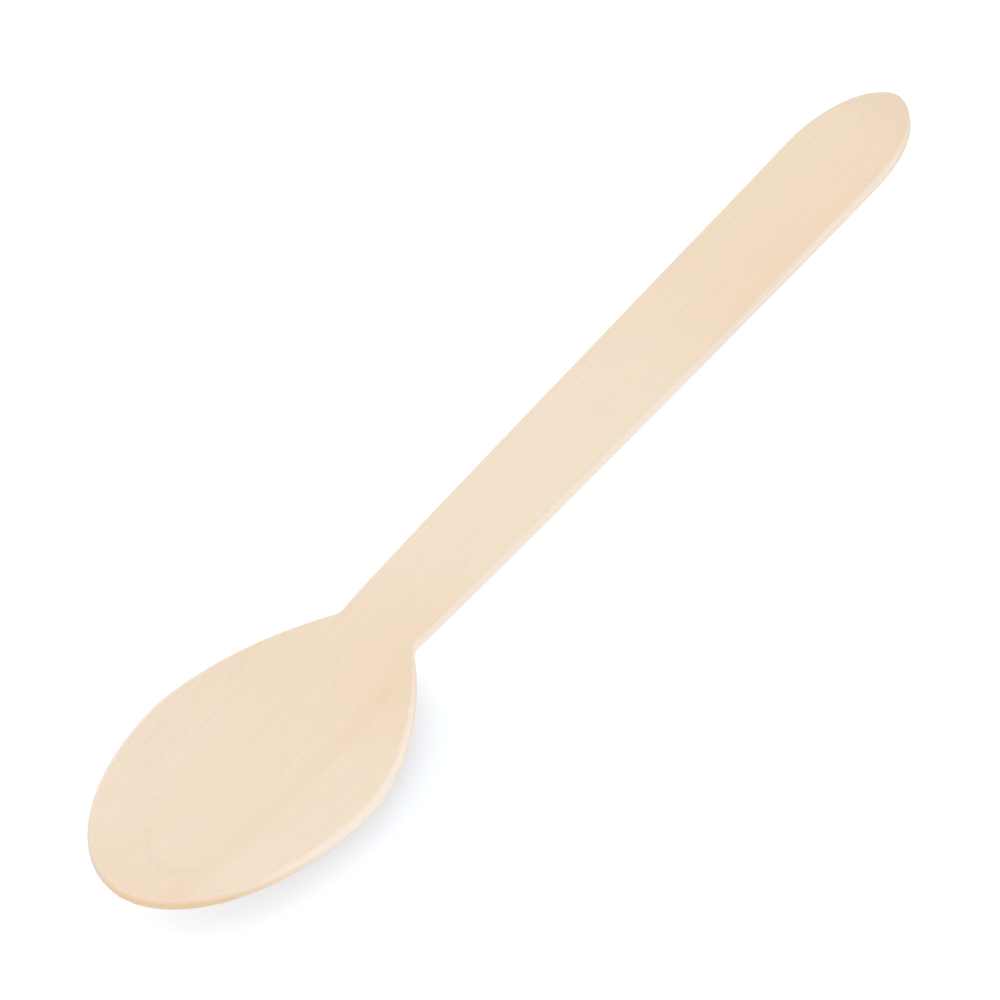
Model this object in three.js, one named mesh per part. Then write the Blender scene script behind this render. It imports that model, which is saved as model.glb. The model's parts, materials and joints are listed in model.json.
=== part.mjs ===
// A disposable wooden spoon: one thin birch blank, stamped to its outline and hot-pressed,
// so that the bowl and the tail are dished and the handle between them stays straight and flat.
// Millimetres, +Z up. It lies as it comes to rest, on its bowl and its tail, bowl towards -X.
import * as THREE from 'three';
import { mergeVertices } from 'three/addons/utils/BufferGeometryUtils.js';

// The stamped outline
const SPOON_LENGTH = 160;
const BOWL_WIDTH = 28.2;
const BOWL_FRONT = 25.5; // from the tip to where the bowl is widest
const BOWL_REAR = 28; // from there to where the rear curve would close
const BOWL_REAR_ROUND = 1.77; // power that rounds the rear curve at its start
const BOWL_REAR_END = 0.9; // power that shapes the rear curve where it runs down to the neck
const NECK_PLACE = 49; // from the tip to the neck
const NECK_WIDTH = 9.6;
const NECK_MERGE = 0.25; // difference in half width over which bowl and handle run together
const HANDLE_SPREAD = 0.6; // power of the handle's widening: below 1, it widens soonest by the neck
const TAIL_WIDTH = 12.4;
const TAIL_ROUND = 14.3; // length of the tail's rounded end

// The sheet and its eased arrises
const THICKNESS = 1.4;
const ARRIS = 0.2;

// The pressed hollows, and the slight slope that the press leaves between them
const BOWL_DEPTH = 3.6;
const BOWL_FULLNESS = 2.3; // power of the bowl's section: above 2 is flat below and steep at the rim
const BOWL_DEEPEST_SPAN = 2; // length of the deepest stretch behind the widest point
const BOWL_RUN_OUT = 24; // length over which the hollow rises to the neck
const TAIL_DEPTH = 0.8;
const TAIL_HOLLOW = 52; // length of the tail's hollow, measured from the end
const TAIL_RUN_IN = 30; // length over which that hollow deepens
const HANDLE_DROP = 0.75; // how far the straight handle falls from the neck to the tail
const NECK_RISE_SPAN = 21; // length over which the bowl's rear rises to the neck's height

// How finely the surface is divided
const FRONT_STEPS = 18;
const REAR_STEPS = 16;
const NECK_STEPS = 10;
const NECK_STRETCH = 4; // length to each side of the neck that is divided more finely
const HANDLE_STEPS = 10;
const TAIL_STEPS = 12;
const END_STEPS = 12;
const INNER_STRIPS = 13; // odd, so that a flat strip runs down the middle
const BLUNT_TIP = 0.07; // length of rounded end that the first and last facet stand for
const PROBE = 0.01; // distance between the two points that give a slope

const tailStart = SPOON_LENGTH - TAIL_ROUND;
const hollowStart = SPOON_LENGTH - TAIL_HOLLOW;
const arrisMiddle = 1 - Math.SQRT1_2; // share of the radius at an arris's 45 degree point

function ellipse(share) {
  return Math.sqrt(Math.max(1 - share * share, 0));
}

function smoothMax(a, b, range) {
  const overlap = Math.max(range - Math.abs(a - b), 0) / range;
  return Math.max(a, b) + (overlap * overlap * range) / 4;
}

function bowlHalfWidth(x) {
  if (x < BOWL_FRONT) return (BOWL_WIDTH / 2) * ellipse(1 - Math.max(x, BLUNT_TIP) / BOWL_FRONT);
  const share = Math.min((x - BOWL_FRONT) / BOWL_REAR, 1);
  return (BOWL_WIDTH / 2) * (1 - share ** BOWL_REAR_ROUND) ** BOWL_REAR_END;
}

function handleHalfWidth(x) {
  const share = Math.max(x - NECK_PLACE, 0) / (tailStart - NECK_PLACE);
  const straight = THREE.MathUtils.lerp(NECK_WIDTH, TAIL_WIDTH, share ** HANDLE_SPREAD) / 2;
  if (x < tailStart) return straight;
  const round = Math.min(x, SPOON_LENGTH - BLUNT_TIP) - tailStart;
  return (TAIL_WIDTH / 2) * ellipse(round / TAIL_ROUND);
}

function halfWidth(x) {
  if (x < BOWL_FRONT) return bowlHalfWidth(x);
  return smoothMax(bowlHalfWidth(x), handleHalfWidth(x), NECK_MERGE);
}

// Height of the rim and of the straight handle: the tip and the tail lie at zero
function rimHeight(x) {
  const rise = THREE.MathUtils.smoothstep(x, NECK_PLACE - NECK_RISE_SPAN, NECK_PLACE);
  const fall = THREE.MathUtils.clamp((x - NECK_PLACE) / (hollowStart - NECK_PLACE), 0, 1);
  return HANDLE_DROP * (rise - fall);
}

// Height of the sheet's middle layer
function sheetHeight(x, y) {
  const half = halfWidth(x);
  const deepening = THREE.MathUtils.smoothstep(x, 0, BOWL_FRONT);
  const risingAt = BOWL_FRONT + BOWL_DEEPEST_SPAN;
  const rising = THREE.MathUtils.smoothstep(x, risingAt, risingAt + BOWL_RUN_OUT);
  const bowl = BOWL_DEPTH * deepening * (1 - rising) * (1 - Math.abs(y / half) ** BOWL_FULLNESS);
  const runIn = THREE.MathUtils.smoothstep(x, hollowStart, hollowStart + TAIL_RUN_IN);
  const tail = (TAIL_DEPTH * runIn * (half * half - y * y)) / (TAIL_WIDTH / 2) ** 2;
  return rimHeight(x) - bowl - tail;
}

function sheetNormal(x, y) {
  const alongX = (sheetHeight(x + PROBE, y) - sheetHeight(x - PROBE, y)) / (2 * PROBE);
  const alongY = (sheetHeight(x, y + PROBE) - sheetHeight(x, y - PROBE)) / (2 * PROBE);
  return new THREE.Vector3(-alongX, -alongY, 1).normalize();
}

// Stations along the spoon, each with how much its arris takes off the face there
function stationsAlong() {
  const stations = [
    { x: 0, ease: ARRIS },
    { x: arrisMiddle * ARRIS, ease: arrisMiddle * ARRIS },
    { x: ARRIS, ease: 0 },
  ];
  const addStretch = (from, to, steps) => {
    for (let i = 1; i <= steps; i++) {
      stations.push({ x: THREE.MathUtils.lerp(from, to, i / steps), ease: 0 });
    }
  };
  for (let i = 2; i <= FRONT_STEPS; i++) {
    const angle = (i / FRONT_STEPS) * (Math.PI / 2);
    stations.push({ x: BOWL_FRONT * (1 - Math.cos(angle)), ease: 0 });
  }
  addStretch(BOWL_FRONT, NECK_PLACE - NECK_STRETCH, REAR_STEPS);
  addStretch(NECK_PLACE - NECK_STRETCH, NECK_PLACE + NECK_STRETCH, NECK_STEPS);
  addStretch(NECK_PLACE + NECK_STRETCH, hollowStart, HANDLE_STEPS);
  addStretch(hollowStart, tailStart, TAIL_STEPS);
  for (let i = 1; i < END_STEPS - 1; i++) {
    const angle = (i / END_STEPS) * (Math.PI / 2);
    stations.push({ x: tailStart + TAIL_ROUND * Math.sin(angle), ease: 0 });
  }
  stations.push({ x: SPOON_LENGTH - ARRIS, ease: 0 });
  stations.push({ x: SPOON_LENGTH - arrisMiddle * ARRIS, ease: arrisMiddle * ARRIS });
  stations.push({ x: SPOON_LENGTH, ease: ARRIS });
  return stations;
}

// Lines across a station, from rim to rim: two for each arris, the rest evenly between them
function linesAcross(x) {
  const half = halfWidth(x);
  const slope = (halfWidth(x + PROBE) - halfWidth(x - PROBE)) / (2 * PROBE);
  const inset = Math.min(ARRIS * Math.hypot(1, slope), half / 2);
  const lines = [
    { y: -half, ease: ARRIS },
    { y: -half + arrisMiddle * inset, ease: arrisMiddle * ARRIS },
  ];
  for (let i = 0; i <= INNER_STRIPS; i++) {
    lines.push({ y: (half - inset) * (-1 + (2 * i) / INNER_STRIPS), ease: 0 });
  }
  lines.push({ y: half - arrisMiddle * inset, ease: arrisMiddle * ARRIS });
  lines.push({ y: half, ease: ARRIS });
  return lines;
}

// The flat blank is a finely divided block, and each of its points is then moved to its place
function pressedSheet() {
  const stations = stationsAlong();
  const strips = INNER_STRIPS + 4;
  const block = new THREE.BoxGeometry(1, 1, 1, stations.length - 1, strips, 1);
  block.deleteAttribute('normal');
  block.deleteAttribute('uv');
  const sheet = mergeVertices(block);
  const position = sheet.attributes.position;
  const point = new THREE.Vector3();
  for (let i = 0; i < position.count; i++) {
    point.fromBufferAttribute(position, i);
    const station = stations[Math.round((point.x + 0.5) * (stations.length - 1))];
    const line = linesAcross(station.x)[Math.round((point.y + 0.5) * strips)];
    const offset = Math.sign(point.z) * (THICKNESS / 2 - Math.max(station.ease, line.ease));
    const normal = sheetNormal(station.x, line.y);
    point.set(station.x, line.y, sheetHeight(station.x, line.y));
    point.addScaledVector(normal, offset);
    position.setXYZ(i, point.x, point.y, point.z);
  }
  return sheet;
}

// Lowest point of the part of the spoon between two places along it
function lowestPoint(geometry, from, to) {
  const position = geometry.attributes.position;
  const lowest = new THREE.Vector3(0, 0, Infinity);
  const point = new THREE.Vector3();
  for (let i = 0; i < position.count; i++) {
    point.fromBufferAttribute(position, i);
    if (point.x > from && point.x < to && point.z < lowest.z) lowest.copy(point);
  }
  return lowest;
}

// The spoon settles until its bowl and its tail are both down
function layDown(geometry) {
  const middle = SPOON_LENGTH / 2;
  for (let round = 0; round < 4; round++) {
    const bowl = lowestPoint(geometry, -Infinity, middle);
    const tail = lowestPoint(geometry, middle, Infinity);
    geometry.rotateY(Math.atan2(tail.z - bowl.z, tail.x - bowl.x));
  }
  geometry.computeBoundingBox();
  const centre = geometry.boundingBox.getCenter(new THREE.Vector3());
  geometry.translate(-centre.x, -centre.y, -geometry.boundingBox.min.z);
}

const birch = new THREE.MeshStandardMaterial({ color: 0xf0dcc5, roughness: 0.75, metalness: 0 });

const spoonGeometry = pressedSheet();
layDown(spoonGeometry);
const spoon = new THREE.Mesh(spoonGeometry, birch);
spoon.name = 'spoon';

const group = new THREE.Group();
group.add(spoon);

export default group;
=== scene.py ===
import json
import math

import bpy
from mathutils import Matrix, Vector

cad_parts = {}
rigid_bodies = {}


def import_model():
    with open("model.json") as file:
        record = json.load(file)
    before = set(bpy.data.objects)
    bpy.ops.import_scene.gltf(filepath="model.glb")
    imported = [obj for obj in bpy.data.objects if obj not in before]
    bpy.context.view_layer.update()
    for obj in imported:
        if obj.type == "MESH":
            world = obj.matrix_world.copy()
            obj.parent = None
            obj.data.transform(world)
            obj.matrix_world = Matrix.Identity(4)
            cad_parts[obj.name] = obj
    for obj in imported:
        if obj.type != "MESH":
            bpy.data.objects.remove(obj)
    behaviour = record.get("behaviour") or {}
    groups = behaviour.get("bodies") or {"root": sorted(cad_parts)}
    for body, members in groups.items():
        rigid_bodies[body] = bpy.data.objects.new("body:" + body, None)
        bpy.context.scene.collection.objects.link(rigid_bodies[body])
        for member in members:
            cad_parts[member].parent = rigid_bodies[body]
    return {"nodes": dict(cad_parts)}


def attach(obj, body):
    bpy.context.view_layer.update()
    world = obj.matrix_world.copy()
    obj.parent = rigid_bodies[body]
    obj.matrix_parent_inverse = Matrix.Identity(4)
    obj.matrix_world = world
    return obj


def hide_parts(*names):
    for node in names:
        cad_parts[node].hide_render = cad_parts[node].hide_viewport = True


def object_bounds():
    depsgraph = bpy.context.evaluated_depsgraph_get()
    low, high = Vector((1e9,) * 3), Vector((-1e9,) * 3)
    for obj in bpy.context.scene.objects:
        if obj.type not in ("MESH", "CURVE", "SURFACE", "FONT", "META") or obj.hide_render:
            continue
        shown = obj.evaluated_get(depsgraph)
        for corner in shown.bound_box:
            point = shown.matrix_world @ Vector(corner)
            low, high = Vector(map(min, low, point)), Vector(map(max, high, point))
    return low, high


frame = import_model()
cad_low, cad_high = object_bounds()


# The table and the camera
# The spoon lies alone on a white table, seen from above its tip, with a long lens from a metre away.
# The table looks white all over, and only a soft shade beside the bowl shows on it.
MM = 0.001
VIEW_ELEVATION = 42.325
VIEW_AZIMUTH = -57.881
VIEW_DISTANCE = 1000 * MM
VIEW_CENTRE = Vector((-2.21, 2.66, 0.025)) * MM
FILM_WIDTH = 36.0
LENS = 324.97
TABLE_SIZE = 6000 * MM
TABLE_DROP = 0.02 * MM
TABLE_WHITE = (0.95, 0.95, 0.95, 1)
TABLE_GLARE = (1.12, 1.12, 1.12)
GLARE_LOST_IN_SHADE = (-0.97, -0.94, -0.90)
SHADE_TINT = (0.92, 0.95, 1.0)
SHADE_TINT_BESIDE_BOWL = (0.895, 0.915, 0.935)
# How much of the shade shows, beyond the spoon and in front of it, what is added beside the bowl, and
# the part of it that is left along the handle
SHADE_FAR = 0.27
SHADE_NEAR = 0.72
SHADE_BESIDE_BOWL = 0.27
SHADE_ALONG_HANDLE = 0.2
SHADE_ACROSS = (2 * MM, -11 * MM)
SHADE_ALONG_BOWL = (-66 * MM, -42 * MM)
SHADE_STOPS_AT_NECK = (-36 * MM, -27 * MM)
VECTOR_A = 4
VECTOR_B = 5
VECTOR_RESULT = 1


def new_node(tree, kind, **values):
    """Adds a node, sets what is given, and returns it. A key such as in_Scale sets that input."""
    node = tree.nodes.new(kind)
    for key, value in values.items():
        if key.startswith("in_"):
            node.inputs[key.removeprefix("in_")].default_value = value
        else:
            setattr(node, key, value)
    return node


def give(tree, socket, value):
    """Links an output to a socket, or sets the socket to a plain value."""
    if isinstance(value, bpy.types.NodeSocket):
        tree.links.new(value, socket)
    else:
        socket.default_value = value


def maths(tree, operation, *values):
    """The result of one Math node."""
    node = new_node(tree, "ShaderNodeMath", operation=operation)
    for socket, value in zip(node.inputs, values):
        give(tree, socket, value)
    return node.outputs[0]


def ramp(tree, value, start, end, low=0.0, high=1.0, kind="SMOOTHSTEP"):
    """Runs from low, where the value is at start, to high, where it is at end."""
    node = new_node(tree, "ShaderNodeMapRange", interpolation_type=kind)
    for socket, given in zip(node.inputs, (value, start, end, low, high)):
        give(tree, socket, given)
    return node.outputs[0]


def empty_material(name):
    """A new material with no nodes in it yet, and its node tree."""
    material = bpy.data.materials.new(name)
    material.use_nodes = True
    material.node_tree.nodes.clear()
    return material, material.node_tree


def seen_directly(tree):
    """One where the camera, a gloss or a clear thing shows the surface, and none for its light."""
    rays = new_node(tree, "ShaderNodeLightPath")
    seen = maths(tree, "MAXIMUM", rays.outputs["Is Camera Ray"], rays.outputs["Is Glossy Ray"])
    return maths(tree, "MAXIMUM", seen, rays.outputs["Is Transmission Ray"])


bpy.ops.object.select_all(action="DESELECT")
bpy.ops.object.camera_add()
camera = bpy.context.object
camera.name = "camera"
camera.data.sensor_width = FILM_WIDTH
camera.data.lens = LENS
camera.rotation_euler = (math.radians(90 - VIEW_ELEVATION), 0, math.radians(VIEW_AZIMUTH))
look_back = camera.rotation_euler.to_matrix() @ Vector((0, 0, 1))
camera.location = VIEW_CENTRE + look_back * VIEW_DISTANCE
bpy.context.scene.camera = camera

bpy.ops.mesh.primitive_plane_add(size=TABLE_SIZE, location=(0, 0, -TABLE_DROP))
table = bpy.context.object
table.name = "table"

material, tree = empty_material("table_white")
place = new_node(tree, "ShaderNodeTexCoord")
axes = new_node(tree, "ShaderNodeSeparateXYZ")
tree.links.new(place.outputs["Object"], axes.inputs[0])
along = axes.outputs["X"]
across = axes.outputs["Y"]
shade = ramp(tree, across, *SHADE_ACROSS, SHADE_FAR, SHADE_NEAR, kind="LINEAR")
beside_bowl = ramp(tree, along, *SHADE_ALONG_BOWL)
past_neck = ramp(tree, along, *SHADE_STOPS_AT_NECK, 1.0, SHADE_ALONG_HANDLE)
shade = maths(tree, "MULTIPLY_ADD", beside_bowl, SHADE_BESIDE_BOWL, shade)
shade = maths(tree, "MULTIPLY", shade, past_neck)
tint = new_node(tree, "ShaderNodeMix", data_type="VECTOR")
tint.inputs[VECTOR_A].default_value = SHADE_TINT
tint.inputs[VECTOR_B].default_value = SHADE_TINT_BESIDE_BOWL
shown_tint = new_node(tree, "ShaderNodeVectorMath", operation="SCALE")
glare = new_node(tree, "ShaderNodeVectorMath", operation="MULTIPLY_ADD")
glare.inputs[1].default_value = GLARE_LOST_IN_SHADE
glare.inputs[2].default_value = TABLE_GLARE
lit_table = new_node(tree, "ShaderNodeBsdfDiffuse", in_Color=TABLE_WHITE)
shown_shade = new_node(tree, "ShaderNodeBsdfDiffuse")
shown_glare = new_node(tree, "ShaderNodeEmission", in_Strength=1.0)
shown = new_node(tree, "ShaderNodeAddShader")
mix = new_node(tree, "ShaderNodeMixShader")
output = new_node(tree, "ShaderNodeOutputMaterial")
tree.links.new(beside_bowl, tint.inputs["Factor"])
tree.links.new(tint.outputs[VECTOR_RESULT], shown_tint.inputs[0])
tree.links.new(shade, shown_tint.inputs["Scale"])
tree.links.new(shade, glare.inputs[0])
tree.links.new(shown_tint.outputs[0], shown_shade.inputs["Color"])
tree.links.new(glare.outputs[0], shown_glare.inputs["Color"])
tree.links.new(shown_shade.outputs[0], shown.inputs[0])
tree.links.new(shown_glare.outputs[0], shown.inputs[1])
tree.links.new(seen_directly(tree), mix.inputs[0])
tree.links.new(lit_table.outputs[0], mix.inputs[1])
tree.links.new(shown.outputs[0], mix.inputs[2])
tree.links.new(mix.outputs[0], output.inputs["Surface"])
table.data.materials.append(material)


# The light
# A white tent lights the spoon evenly from all sides, and one big soft lamp, a little warmer, stands
# beyond it. To the camera the tent itself is pure white.
TENT_LIGHT = (0.985, 0.99, 1.0, 1)
TENT_STRENGTH = 1.007
TENT_SEEN = (1, 1, 1, 1)
LAMP_COLOUR = (1.0, 0.97, 0.92)
LAMP_POWER = 0.5
LAMP_SIZE = 900 * MM
LAMP_DISTANCE = 1200 * MM
LAMP_ELEVATION = 50
LAMP_AZIMUTH = 180

world = bpy.data.worlds.new("tent")
bpy.context.scene.world = world
world.use_nodes = True
world.node_tree.nodes.clear()
tree = world.node_tree
lit = new_node(tree, "ShaderNodeBackground", in_Color=TENT_LIGHT, in_Strength=TENT_STRENGTH)
seen = new_node(tree, "ShaderNodeBackground", in_Color=TENT_SEEN, in_Strength=1.0)
mix = new_node(tree, "ShaderNodeMixShader")
output = new_node(tree, "ShaderNodeOutputWorld")
tree.links.new(seen_directly(tree), mix.inputs[0])
tree.links.new(lit.outputs[0], mix.inputs[1])
tree.links.new(seen.outputs[0], mix.inputs[2])
tree.links.new(mix.outputs[0], output.inputs["Surface"])

bpy.ops.object.light_add(type="AREA")
lamp = bpy.context.object
lamp.name = "soft_lamp"
lamp.data.size = LAMP_SIZE
lamp.data.energy = LAMP_POWER
lamp.data.color = LAMP_COLOUR
lamp.rotation_euler = (math.radians(90 - LAMP_ELEVATION), 0, math.radians(LAMP_AZIMUTH))
lamp.location = lamp.rotation_euler.to_matrix() @ Vector((0, 0, LAMP_DISTANCE))

bpy.context.scene.view_settings.view_transform = "Standard"


# The spoon
# One sheet of pale birch veneer, stamped to its outline in one stroke and pressed hot between two
# dies, then left bare. Fine fibres and short pores run along it, and the wood is a shade warmer at
# the tip, the neck and the tail. The cut edge is pale, and brown where it shows the fibres' ends.
SAME_POINT = 0.002 * MM
ANY_ANGLE = math.radians(180)
EVEN_ROWS = 2.0
FACE_TURN = math.radians(14)
FINE_LEVELS = 2
EDGE_NAME = "stamped_edge"
WALL_VALUE = 1.0
ARRIS_VALUE = 0.5
FACE_VALUE = 0.0
ARRIS_RINGS = 1
HEIGHT_NAME = "height_in_sheet"
UNDERSIDE_VALUE = 0.0
TOP_VALUE = 1.0
TOP_RINGS = 2


def select_face_at(mesh, place):
    """Selects only the face whose middle is nearest to a place, with its edges and points."""
    near = min(mesh.polygons, key=lambda face: (face.center - place).length)
    for part in (*mesh.vertices, *mesh.edges, *mesh.polygons):
        part.select = part == near
    mesh.polygons.active = near.index


def mark_from_face(mesh, place, rings, value):
    """Sets the active attribute on the pressed face around a place and on so many rings beyond it."""
    bpy.ops.object.mode_set(mode="OBJECT")
    select_face_at(mesh, place)
    bpy.ops.object.mode_set(mode="EDIT")
    bpy.ops.mesh.select_mode(type="FACE")
    bpy.ops.mesh.faces_select_linked_flat(sharpness=FACE_TURN)
    for _ in range(rings):
        bpy.ops.mesh.select_more()
    bpy.ops.mesh.attribute_set(value_float=value)


def mark_all(name, value):
    """Adds a number to every point, and sets it to one value."""
    bpy.ops.object.mode_set(mode="OBJECT")
    bpy.ops.geometry.attribute_add(name=name, domain="POINT", data_type="FLOAT")
    bpy.ops.object.mode_set(mode="EDIT")
    bpy.ops.mesh.select_all(action="SELECT")
    bpy.ops.mesh.attribute_set(value_float=value)


# The spoon's own solid is copied, its doubled points are merged, and its triangles are paired into
# even rows of quads, which can be made finer without a dent.
bpy.ops.object.select_all(action="DESELECT")
cad_spoon = frame["nodes"]["spoon"]
spoon = cad_spoon.copy()
spoon.data = cad_spoon.data.copy()
spoon.name = "pressed_spoon"
spoon.data.name = "pressed_spoon"
bpy.context.scene.collection.objects.link(spoon)
bpy.context.view_layer.objects.active = spoon
spoon.select_set(True)
spoon.data.materials.clear()
bpy.ops.mesh.customdata_custom_splitnormals_clear()

bpy.ops.object.mode_set(mode="EDIT")
bpy.ops.mesh.select_all(action="SELECT")
bpy.ops.mesh.remove_doubles(threshold=SAME_POINT)
bpy.ops.mesh.tris_convert_to_quads(
    face_threshold=ANY_ANGLE, shape_threshold=ANY_ANGLE, topology_influence=EVEN_ROWS
)

# The two pressed faces spread from the middle of the handle, and what is left over is the cut edge.
# It counts one, its eased arrises a half and the faces nothing. The second number gives how high a
# point of the cut edge lies in the sheet, from nothing at the underside to one at the top.
handle_top = Vector((0, 0, cad_high.z))
handle_underside = Vector((0, 0, cad_low.z))
mark_all(EDGE_NAME, WALL_VALUE)
for rings, value in ((ARRIS_RINGS, ARRIS_VALUE), (0, FACE_VALUE)):
    for middle in (handle_top, handle_underside):
        mark_from_face(spoon.data, middle, rings, value)
mark_all(HEIGHT_NAME, UNDERSIDE_VALUE)
mark_from_face(spoon.data, handle_top, TOP_RINGS, TOP_VALUE)
bpy.ops.object.mode_set(mode="OBJECT")

fine = spoon.modifiers.new("fine", "SUBSURF")
fine.levels = FINE_LEVELS
fine.render_levels = FINE_LEVELS
bpy.ops.object.modifier_apply(modifier=fine.name)
bpy.ops.object.shade_smooth()

# Colours of the faces, of the cut edge along the grain and across it, by the tail and on the far
# side.
# The arrises are coloured between face and cut edge, with a painted highlight along them.
PALE_WOOD = (0.881, 0.733, 0.573, 1)
WARM_WOOD = (0.860, 0.676, 0.496, 1)
PALE_EDGE_LOW = (0.965, 0.864, 0.755, 1)
PALE_EDGE_HIGH = (0.985, 0.855, 0.715, 1)
PALE_ARRIS_HIGHLIGHT = (0.950, 0.806, 0.658, 1)
END_GRAIN_LOW = (0.860, 0.618, 0.408, 1)
END_GRAIN_HIGH = (0.905, 0.690, 0.480, 1)
END_ARRIS_HIGHLIGHT = (0.905, 0.735, 0.560, 1)
TAIL_EDGE = (0.915, 0.795, 0.656, 1)
TAIL_ARRIS_HIGHLIGHT = (0.885, 0.730, 0.560, 1)
FAR_CUT = (0.820, 0.705, 0.588, 1)
COLOUR_A = 6
COLOUR_B = 7
COLOUR_RESULT = 2
NOISE_MIDDLE = 0.5


def streaks(tree, place, size, detail, shift):
    """Noise around nothing, in patches of a size in millimetres along, across and through."""
    scale = new_node(tree, "ShaderNodeMapping", in_Location=(shift, shift, shift))
    scale.inputs["Scale"].default_value = [1 / length for length in size]
    noise = new_node(tree, "ShaderNodeTexNoise", in_Scale=1.0, in_Detail=detail)
    tree.links.new(place, scale.inputs["Vector"])
    tree.links.new(scale.outputs[0], noise.inputs["Vector"])
    return maths(tree, "SUBTRACT", noise.outputs["Fac"], NOISE_MIDDLE)


def mixed(tree, share, first, second):
    """Runs from the first colour, at a share of nothing, to the second, at a share of one."""
    node = new_node(tree, "ShaderNodeMix", data_type="RGBA")
    give(tree, node.inputs["Factor"], share)
    give(tree, node.inputs[COLOUR_A], first)
    give(tree, node.inputs[COLOUR_B], second)
    return node.outputs[COLOUR_RESULT]


material, tree = empty_material("birch")
coordinates = new_node(tree, "ShaderNodeTexCoord")
in_mm = new_node(tree, "ShaderNodeVectorMath", operation="SCALE", in_Scale=1 / MM)
axes = new_node(tree, "ShaderNodeSeparateXYZ")
facing = new_node(tree, "ShaderNodeSeparateXYZ")
edge = new_node(tree, "ShaderNodeAttribute", attribute_name=EDGE_NAME).outputs["Fac"]
height = new_node(tree, "ShaderNodeAttribute", attribute_name=HEIGHT_NAME).outputs["Fac"]
tree.links.new(coordinates.outputs["Object"], in_mm.inputs[0])
tree.links.new(in_mm.outputs[0], axes.inputs[0])
tree.links.new(coordinates.outputs["Normal"], facing.inputs[0])
along, across, up = axes.outputs

# The numbers in the mesh, sharpened into the wall of the cut edge, its arrises and the underside
WALL_MARK = (0.7, 0.95)
ARRIS_MARK = (0.1, 0.4)
UNDERSIDE_MARK = (0.6, 0.4)
wall = ramp(tree, edge, *WALL_MARK)
off_wall = ramp(tree, edge, *reversed(WALL_MARK))
arris = maths(tree, "MULTIPLY", ramp(tree, edge, *ARRIS_MARK), off_wall)
underside = ramp(tree, height, *UNDERSIDE_MARK)
upper = maths(tree, "SUBTRACT", 1.0, underside)

# The fibres wander a little, and the two faces of the sheet show different wood. Sizes are in
# millimetres along, across and through the sheet, and each pattern has a shift of its own.
UNDERSIDE_SHIFT = 60.0
WANDER = 1.2
BENDS = {"size": (38, 12, 12), "detail": 2.0, "shift": 0.0}
FIGURE = {"size": (60, 2.4, 0.5), "detail": 3.0, "shift": 3.0}
FIBRES = {"size": (9, 0.34, 0.16), "detail": 3.0, "shift": 7.0}
PORES = {"size": (1.3, 0.12, 0.1), "detail": 1.0, "shift": 11.0}
# Sheen: small flecks lightened into the colour, a painted sheen.
SHEEN = {"size": (1.8, 0.15, 0.1), "detail": 1.0, "shift": 17.0}
CLOUDS = {"size": (14, 6, 6), "detail": 2.0, "shift": 23.0}
FLECK_MARK = (0.08, 0.2)
deep = maths(tree, "MULTIPLY", up, wall)
shifted = maths(tree, "MULTIPLY_ADD", underside, UNDERSIDE_SHIFT, across)
straight_grain = new_node(tree, "ShaderNodeCombineXYZ")
tree.links.new(along, straight_grain.inputs["X"])
tree.links.new(shifted, straight_grain.inputs["Y"])
bends = streaks(tree, straight_grain.outputs[0], **BENDS)
wandered = maths(tree, "MULTIPLY_ADD", bends, WANDER, shifted)
bent_grain = new_node(tree, "ShaderNodeCombineXYZ")
tree.links.new(along, bent_grain.inputs["X"])
tree.links.new(wandered, bent_grain.inputs["Y"])
tree.links.new(deep, bent_grain.inputs["Z"])
grain = bent_grain.outputs[0]
figure = streaks(tree, grain, **FIGURE)
fibres = streaks(tree, grain, **FIBRES)
pores = ramp(tree, streaks(tree, grain, **PORES), *FLECK_MARK)
sheen = ramp(tree, streaks(tree, grain, **SHEEN), *FLECK_MARK)
clouds = streaks(tree, grain, **CLOUDS)

# Warmth of the wood by its place along and across the spoon. Each pair of places, in millimetres,
# says where a tone starts and where it is full.
NECK_ALONG = (-50, -37)
TAIL_ALONG = (14, 43)
TIP_ALONG = (-69, -79)
PALE_HANDLE_ALONG = (-34, -12)
BOWL_SIDES_ACROSS = (4, 9)
BOWL_SIDES_ALONG = (-42, -50)
SIDE_ACROSS = (5, -5)
FAR_SIDE_SHARE = -0.4
NEAR_SIDE_SHARE = 0.6
BOWL_WARMTH = 0.15
BOWL_SIDES_WARMTH = -0.2
NECK_WARMTH = 0.4
TIP_WARMTH = 0.4
TAIL_WARMTH = 0.1
SIDE_WARMTH = 0.32
neck = ramp(tree, along, *NECK_ALONG)
tail = ramp(tree, along, *TAIL_ALONG)
tip = ramp(tree, along, *TIP_ALONG)
not_tail = maths(tree, "SUBTRACT", 1.0, tail)
pale_handle = maths(tree, "MULTIPLY", ramp(tree, along, *PALE_HANDLE_ALONG), not_tail)
off_middle = ramp(tree, maths(tree, "ABSOLUTE", across), *BOWL_SIDES_ACROSS)
bowl_sides = maths(tree, "MULTIPLY", off_middle, ramp(tree, along, *BOWL_SIDES_ALONG))
warmth = maths(tree, "MULTIPLY_ADD", neck, NECK_WARMTH, BOWL_WARMTH)
warmth = maths(tree, "MULTIPLY_ADD", bowl_sides, BOWL_SIDES_WARMTH, warmth)
warmth = maths(tree, "MULTIPLY_ADD", tip, TIP_WARMTH, warmth)
warmth = maths(tree, "MULTIPLY_ADD", tail, TAIL_WARMTH, warmth)
near_side = ramp(tree, across, *SIDE_ACROSS, FAR_SIDE_SHARE, NEAR_SIDE_SHARE)
near_side = maths(tree, "MULTIPLY", near_side, neck)
warmth = maths(tree, "MULTIPLY_ADD", near_side, SIDE_WARMTH, warmth)
warmth = maths(tree, "MULTIPLY", warmth, maths(tree, "SUBTRACT", 1.0, pale_handle))

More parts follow.
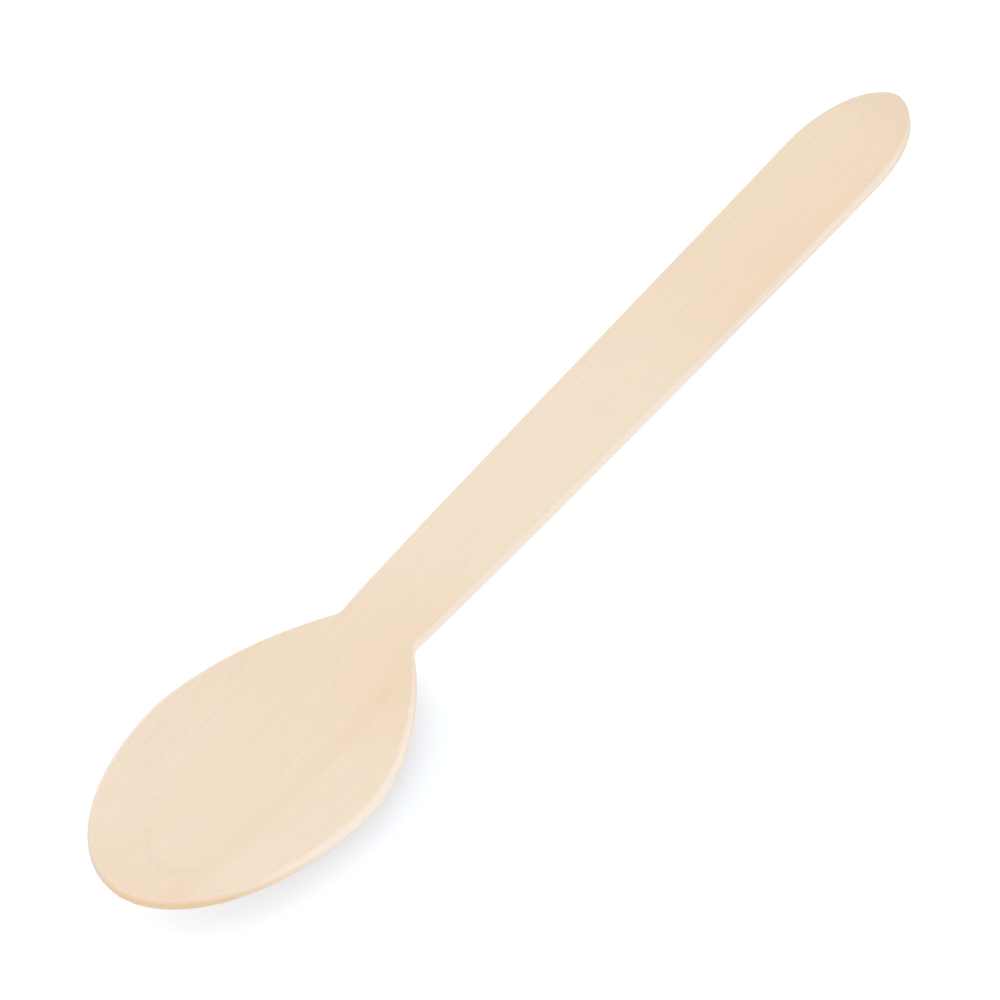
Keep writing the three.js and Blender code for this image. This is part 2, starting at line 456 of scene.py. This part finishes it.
# On the top, a warmer streak crosses the bowl's near side, and a warmer band follows the tail's near
# side. Figure, clouds and fibres vary the warmth on both faces.
STREAK_ALONG = (-52, -36)
STREAK_ACROSS = (-4.4, -6.2)
STREAK_WIDTH = (1.9, 0.2)
STREAK_ENDS = (-33, -39)
BAND_ACROSS = (-3.1, -5.3)
BAND_ALONG = (27, 40)
STREAK_WARMTH = 0.36
BAND_WARMTH = 0.34
FIGURE_WARMTH = 0.55
CLOUD_WARMTH = 0.25
FIBRE_WARMTH = 0.5
streak_place = ramp(tree, along, *STREAK_ALONG, *STREAK_ACROSS)
from_streak = maths(tree, "ABSOLUTE", maths(tree, "SUBTRACT", wandered, streak_place))
streak = ramp(tree, from_streak, *STREAK_WIDTH)
streak = maths(tree, "MULTIPLY", streak, ramp(tree, along, *STREAK_ENDS))
band = ramp(tree, across, *BAND_ACROSS)
band = maths(tree, "MULTIPLY", band, ramp(tree, along, *BAND_ALONG))
seen_marks = maths(tree, "MULTIPLY", band, BAND_WARMTH)
seen_marks = maths(tree, "MULTIPLY_ADD", streak, STREAK_WARMTH, seen_marks)
warmth = maths(tree, "MULTIPLY_ADD", seen_marks, upper, warmth)
warmth = maths(tree, "MULTIPLY_ADD", figure, FIGURE_WARMTH, warmth)
warmth = maths(tree, "MULTIPLY_ADD", clouds, CLOUD_WARMTH, warmth)
warmth = maths(tree, "MULTIPLY_ADD", fibres, FIBRE_WARMTH, warmth)
face_colour = mixed(tree, warmth, PALE_WOOD, WARM_WOOD)

# The cut edge shows more fibre ends the further it runs across the grain, most of all where it faces
# the tip. Its lower half is browner with painted shade near the table, and its top a touch paler.
# It is warmer along the tail, and duller on the spoon's far side.
END_GRAIN_SHOWS = (0.2, 0.7)
REAR_END_GRAIN = 0.6
TAIL_END_GRAIN = 0.1
TAIL_EDGE_SHARE = 0.6
WALL_TOP_SHADE = -0.03
WALL_FOOT_SHADE = 0.12
FOOT_SHADE_HEIGHT = (0.65, 0.35)
PALE_EDGE_HEIGHT = (0.2, 0.6)
BROWN_EDGE_HEIGHT = (0.5, 0.95)
TAIL_END_GRAIN_ALONG = (62, 74)
FAR_SIDE_TURN = (0.15, 0.7)
x_square = maths(tree, "MULTIPLY", facing.outputs["X"], facing.outputs["X"])
plan_square = maths(tree, "MULTIPLY_ADD", facing.outputs["Y"], facing.outputs["Y"], x_square)
plan_length = maths(tree, "SQRT", plan_square)
to_rear = maths(tree, "DIVIDE", facing.outputs["X"], plan_length)
to_tip = maths(tree, "MULTIPLY", to_rear, -1.0)
crosswise = maths(tree, "MAXIMUM", to_tip, maths(tree, "MULTIPLY", to_rear, REAR_END_GRAIN))
painted_foot_shade = ramp(tree, height, *FOOT_SHADE_HEIGHT, WALL_TOP_SHADE, WALL_FOOT_SHADE)
by_tail = ramp(tree, along, *TAIL_END_GRAIN_ALONG, 0.0, TAIL_END_GRAIN)
crosswise = maths(tree, "ADD", crosswise, painted_foot_shade)
crosswise = maths(tree, "ADD", crosswise, by_tail)
end_grain = ramp(tree, crosswise, *END_GRAIN_SHOWS, kind="LINEAR")
pale_edge = mixed(tree, ramp(tree, height, *PALE_EDGE_HEIGHT), PALE_EDGE_LOW, PALE_EDGE_HIGH)
tail_edge = maths(tree, "MULTIPLY", tail, TAIL_EDGE_SHARE)
pale_edge = mixed(tree, tail_edge, pale_edge, TAIL_EDGE)
# The eased arrises carry a painted highlight, between the face and the cut edge in tone.
pale_arris_highlight = mixed(tree, tail_edge, PALE_ARRIS_HIGHLIGHT, TAIL_ARRIS_HIGHLIGHT)
brown_edge = mixed(tree, ramp(tree, height, *BROWN_EDGE_HEIGHT), END_GRAIN_LOW, END_GRAIN_HIGH)
wall_colour = mixed(tree, end_grain, pale_edge, brown_edge)
arris_highlight_colour = mixed(tree, end_grain, pale_arris_highlight, END_ARRIS_HIGHLIGHT)
far_side = ramp(tree, facing.outputs["Y"], *FAR_SIDE_TURN)
wall_colour = mixed(tree, far_side, wall_colour, FAR_CUT)
arris_highlight_colour = mixed(tree, far_side, arris_highlight_colour, FAR_CUT)
colour = mixed(tree, wall, face_colour, wall_colour)
colour = mixed(tree, arris, colour, arris_highlight_colour)

# The fibres are lighter and darker by turns, the painted sheen is lighter and the pores are darker.
# Painted shade darkens the tail's end a little; a faint year ring curves round inside the tip on the
# top.
FIBRE_CONTRAST = 0.128
PORE_DARKNESS = -0.042
SHEEN_LIGHTNESS = 0.025
TAIL_END_PAINTED_SHADE = 0.958
TAIL_END_SHADE_ALONG = (70, 80)
RING_DARKNESS = -0.024
RING_START = -74.5
RING_SPREAD = 0.167
RING_MIDDLE = -1.0
RING_WIDTH = (1.3, 0.1)
RING_ALONG = (-64, -71)
RING_ACROSS = (-5.5, -3.5)
from_axis = maths(tree, "SUBTRACT", wandered, RING_MIDDLE)
ring_place = maths(tree, "MULTIPLY", maths(tree, "MULTIPLY", from_axis, from_axis), RING_SPREAD)
ring_place = maths(tree, "ADD", ring_place, RING_START)
from_ring = maths(tree, "ABSOLUTE", maths(tree, "SUBTRACT", along, ring_place))
ring = maths(tree, "MULTIPLY", ramp(tree, from_ring, *RING_WIDTH), ramp(tree, along, *RING_ALONG))
ring = maths(tree, "MULTIPLY", ring, ramp(tree, wandered, *RING_ACROSS))
ring = maths(tree, "MULTIPLY", ring, upper)
light = ramp(tree, along, *TAIL_END_SHADE_ALONG, 1.0, TAIL_END_PAINTED_SHADE)
light = maths(tree, "MULTIPLY_ADD", ring, RING_DARKNESS, light)
light = maths(tree, "MULTIPLY_ADD", fibres, FIBRE_CONTRAST, light)
light = maths(tree, "MULTIPLY_ADD", pores, PORE_DARKNESS, light)
light = maths(tree, "MULTIPLY_ADD", sheen, SHEEN_LIGHTNESS, light)
tinted = new_node(tree, "ShaderNodeVectorMath", operation="SCALE")
tree.links.new(colour, tinted.inputs[0])
tree.links.new(light, tinted.inputs["Scale"])

# The bare wood is matt, and rougher where it is cut. Fibres and pores leave a fine relief in it.
FACE_ROUGHNESS = 0.68
FIBRE_ROUGHNESS = 0.25
CUT_ROUGHNESS = 0.15
PORE_DEPTH = -0.6
GRAIN_RELIEF = 0.03 * MM
RELIEF_STRENGTH = 0.35
SPECULAR_LEVEL = 0.3
roughness = maths(tree, "MULTIPLY_ADD", fibres, FIBRE_ROUGHNESS, FACE_ROUGHNESS)
roughness = maths(tree, "MULTIPLY_ADD", wall, CUT_ROUGHNESS, roughness)
relief = maths(tree, "MULTIPLY_ADD", pores, PORE_DEPTH, fibres)
bump = new_node(tree, "ShaderNodeBump", in_Strength=RELIEF_STRENGTH, in_Distance=GRAIN_RELIEF)
tree.links.new(relief, bump.inputs["Height"])

shader = new_node(tree, "ShaderNodeBsdfPrincipled")
shader.inputs["Specular IOR Level"].default_value = SPECULAR_LEVEL
output = new_node(tree, "ShaderNodeOutputMaterial")
tree.links.new(tinted.outputs[0], shader.inputs["Base Color"])
tree.links.new(roughness, shader.inputs["Roughness"])
tree.links.new(bump.outputs[0], shader.inputs["Normal"])
tree.links.new(shader.outputs[0], output.inputs["Surface"])
spoon.data.materials.append(material)

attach(spoon, "root")
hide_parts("spoon")
